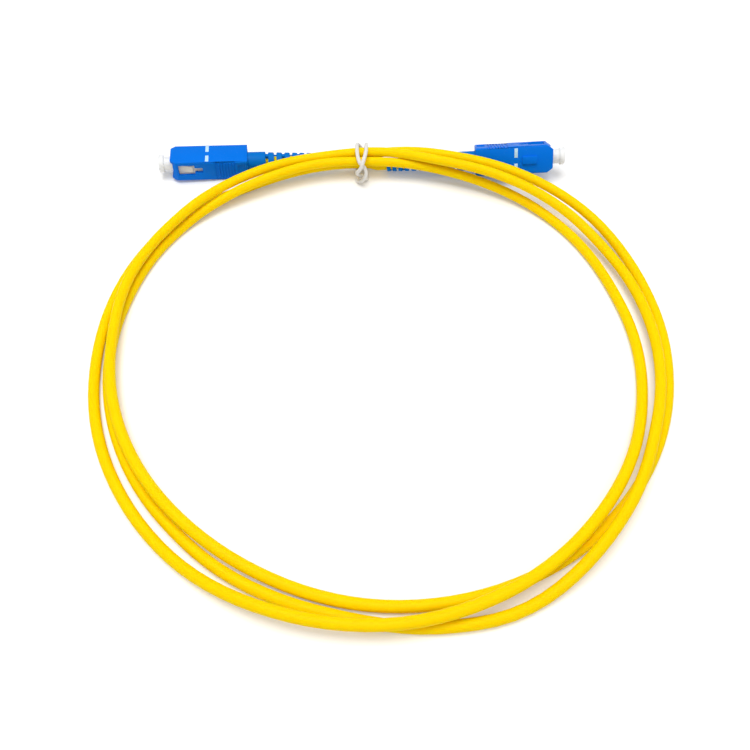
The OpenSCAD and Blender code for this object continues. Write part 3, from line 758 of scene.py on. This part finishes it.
class PATCHCORD_OT_boots(bpy.types.Operator):
    """Makes the slotted strain-relief boots"""
    bl_idname = "patchcord.boots"
    bl_label = "Make the boots"

    def execute(self, context):
        settings = context.scene.patch_cord
        boot = settings.boot
        rubber = moulded_plastic("Blue boot rubber", boot.tint, (0.38, 0.52), 0.00002, 0.15)
        bore = settings.cord.diameter / 2 + 0.05 * MM
        span = boot.total_length - boot.collar_length
        full = boot.diameter / 2
        neck = full - 0.2 * MM
        tip = boot.tip_diameter / 2
        # The collar's front and its socket's floor along X, then the radii of the socket, of the
        # hole behind it and of that hole's mouth
        front, floor, soft = 0.9 * MM, -5.8 * MM, 0.3 * MM
        socket, throat, mouth = 2.55 * MM, 2.2 * MM, 2.3 * MM
        crowding = 0.22
        sunk = 0.2 * MM

        def share(i):
            """Share of the ringed length before slot i. The slots lie closer towards the tip."""
            return (i / boot.rings) * (1 + crowding - crowding * i / boot.rings)

        def slot_at(i):
            return -boot.collar_length - span * share(i)

        def slot_wide(i):
            return boot.slot_first + (boot.slot_last - boot.slot_first) * i / (boot.rings - 1)

        def radius(x):
            return neck + (tip - neck) * (-x - boot.collar_length) / span

        for side in SIDES:
            bm = bmesh.new()
            spin_profile(bm, [(front, socket), (front, full)]
                         + rounded_corner(-boot.collar_length, full, soft, -soft)[::-1]
                         + [(-boot.collar_length, mouth), (floor, throat), (floor, socket)])
            for i in range(boot.rings):
                x0 = slot_at(i) - slot_wide(i)
                x1 = -boot.total_length if i == boot.rings - 1 else slot_at(i + 1)
                edge = min(boot.ring_round, 0.45 * (x0 - x1))
                spin_profile(bm, [(x0, bore)]
                             + rounded_corner(x0, radius(x0), -edge, -edge)
                             + rounded_corner(x1, radius(x1), edge, -edge)[::-1]
                             + [(x1, bore)], steps=48)
                for half in (-1, 1):
                    made = bmesh.ops.create_cube(bm, size=1.0)["verts"]
                    tall = radius(x0) - boot.groove - bore
                    bmesh.ops.scale(bm, verts=made,
                                    vec=(slot_wide(i) + sunk, boot.bridge, tall))
                    bmesh.ops.translate(bm, verts=made, vec=(
                        slot_at(i) - slot_wide(i) / 2, 0, half * (bore + tall / 2)))
                    bmesh.ops.rotate(bm, verts=made, cent=(0, 0, 0),
                                     matrix=Matrix.Rotation(math.pi / 2 * (i % 2), 3, "X"))
            close_up(bm)
            bm.transform(plug_pose(side))
            piece = new_piece("boot_rings_" + side, bm, rubber, 40)
            place_piece(piece, "cord", "boot_blue", "boot_" + side)
        return {"FINISHED"}


class PATCHCORD_OT_caps(bpy.types.Operator):
    """Makes the translucent dust caps"""
    bl_idname = "patchcord.caps"
    bl_label = "Make the dust caps"

    def execute(self, context):
        settings = context.scene.patch_cord
        plug, cap = settings.plug, settings.cap
        milky = clear_plastic("Translucent cap plastic", cap.tint)
        front = plug.house_length + cap.reach
        shoulder = front - cap.head_thickness
        rear = plug.house_length - cap.insert
        head, neck, bore = cap.head_diameter / 2, cap.neck_diameter / 2, 1.27 * MM
        end = plug.house_length + plug.ferrule_out + 0.2 * MM
        soft, lip, fillet = 0.35 * MM, 0.2 * MM, 0.15 * MM
        dimple, dimple_floor, deep = 1.2 * MM, 1.0 * MM, 0.15 * MM
        for side in SIDES:
            bm = bmesh.new()
            spin_profile(bm, [(end, 0), (end, bore), (rear, bore)]
                         + rounded_corner(rear, neck, lip, -lip)
                         + [(shoulder - fillet, neck), (shoulder, neck + fillet)]
                         + rounded_corner(shoulder, head, soft, -soft)
                         + rounded_corner(front, head, -soft, -soft)[::-1]
                         + [(front, dimple), (front - deep, dimple_floor), (front - deep, 0)])
            close_up(bm)
            bm.transform(plug_pose(side))
            piece = new_piece("cap_shell_" + side, bm, milky, 40)
            place_piece(piece, "cap_" + side, "cap_clear", "dust_cap_" + side)
        return {"FINISHED"}


class PATCHCORD_OT_springs(bpy.types.Operator):
    """Winds the ferrule springs"""
    bl_idname = "patchcord.springs"
    bl_label = "Wind the ferrule springs"

    def execute(self, context):
        plug = context.scene.patch_cord.plug
        wire = turned_metal("Spring wire", (0.52, 0.52, 0.53), (0.25, 0.4))
        clear = 0.1
        first, last = (STOP_FRONT + clear) * MM, SPRING_FRONT * MM
        radius = plug.spring_diameter / 2
        per_turn = 32
        count = plug.spring_turns * per_turn
        travel = last - first - 2 * plug.wire
        points = [Vector((first + plug.wire / 2, radius, 0))]
        for i in range(count + 1):
            t = math.tau * i / per_turn
            points.append(Vector((first + plug.wire + i / count * travel,
                                  radius * math.cos(t), radius * math.sin(t))))
        points.append(Vector((last - plug.wire / 2, radius, 0)))
        for side in SIDES:
            pose = plug_pose(side)
            piece = swept_piece("spring_wire_" + side, [pose @ p for p in points], plug.wire, wire,
                                resolution=4)
            place_piece(piece, "cord", "spring_steel", "ferrule_spring_" + side)
            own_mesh(piece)
        return {"FINISHED"}


class PATCHCORD_OT_inner(bpy.types.Operator):
    """Finishes the metal, ceramic, yarn and fiber pieces inside the plugs"""
    bl_idname = "patchcord.inner"
    bl_label = "Finish the inner pieces"

    def execute(self, context):
        plated = turned_metal("Plated metal", (0.66, 0.65, 0.62))
        zirconia = moulded_plastic("Zirconia", (0.88, 0.87, 0.83), (0.12, 0.2), 0.000004, 0.0,
                                   0.96)
        coating = moulded_plastic("Fiber coating", (0.85, 0.85, 0.83), (0.35, 0.45), 0.000006,
                                  0.0, 0.95)
        finishes = {
            "ferrule_": zirconia,
            "ferrule_flange_": plated,
            "stop_ring_": plated,
            "crimp_sleeve_": turned_metal("Crimped sleeve", (0.60, 0.59, 0.57), (0.3, 0.45)),
            "strength_yarn_": spun_yarn("Strength yarn", (0.80, 0.60, 0.12)),
            "coated_fiber_": coating,
        }
        bodies = {"ferrule_": "ferrule_set_", "ferrule_flange_": "ferrule_set_"}
        slots = {"ferrule_": "zirconia", "strength_yarn_": "aramid_yellow",
                 "coated_fiber_": "fiber_white"}
        edge = 0.04 * MM
        for prefix, finish in finishes.items():
            for side in SIDES:
                soft = 0.0 if prefix in ("strength_yarn_", "coated_fiber_") else edge
                copy = rounded_copy(prefix + side, soft)
                piece = new_piece(prefix + "shape_" + side, copy, finish)
                place_piece(piece, bodies[prefix] + side if prefix in bodies else "cord",
                            slots.get(prefix, "nickel"), prefix + side)
        return {"FINISHED"}


class PATCHCORD_PT_panel(bpy.types.Panel):
    """Lists the sizes, the colours and the steps of the patch cord"""
    bl_idname = "PATCHCORD_PT_panel"
    bl_label = "Patch Cord"
    bl_space_type = "VIEW_3D"
    bl_region_type = "UI"
    bl_category = "Patch Cord"

    def draw(self, context):
        settings = context.scene.patch_cord
        for part in ("cord", "tie", "plug", "boot", "cap"):
            box = self.layout.box()
            box.label(text=part.capitalize())
            group = getattr(settings, part)
            for name in group.bl_rna.properties.keys():
                if name not in ("rna_type", "name"):
                    box.prop(group, name)
        for operator in OPERATORS:
            self.layout.operator(operator.bl_idname)


OPERATORS = (
    PATCHCORD_OT_stage, PATCHCORD_OT_cord, PATCHCORD_OT_housings, PATCHCORD_OT_frames,
    PATCHCORD_OT_boots, PATCHCORD_OT_caps, PATCHCORD_OT_springs, PATCHCORD_OT_inner,
)
CLASSES = (
    PATCHCORD_PG_cord, PATCHCORD_PG_tie, PATCHCORD_PG_plug, PATCHCORD_PG_boot, PATCHCORD_PG_cap,
    PATCHCORD_PG_all, *OPERATORS, PATCHCORD_PT_panel,
)


def register():
    for cls in CLASSES:
        bpy.utils.register_class(cls)
    bpy.types.Scene.patch_cord = PointerProperty(type=PATCHCORD_PG_all)


def unregister():
    del bpy.types.Scene.patch_cord
    for cls in reversed(CLASSES):
        bpy.utils.unregister_class(cls)


def main():
    register()
    bpy.ops.patchcord.stage()
    bpy.ops.patchcord.cord()
    bpy.ops.patchcord.housings()
    bpy.ops.patchcord.frames()
    bpy.ops.patchcord.boots()
    bpy.ops.patchcord.caps()
    bpy.ops.patchcord.springs()
    bpy.ops.patchcord.inner()


if __name__ == "__main__":
    main()
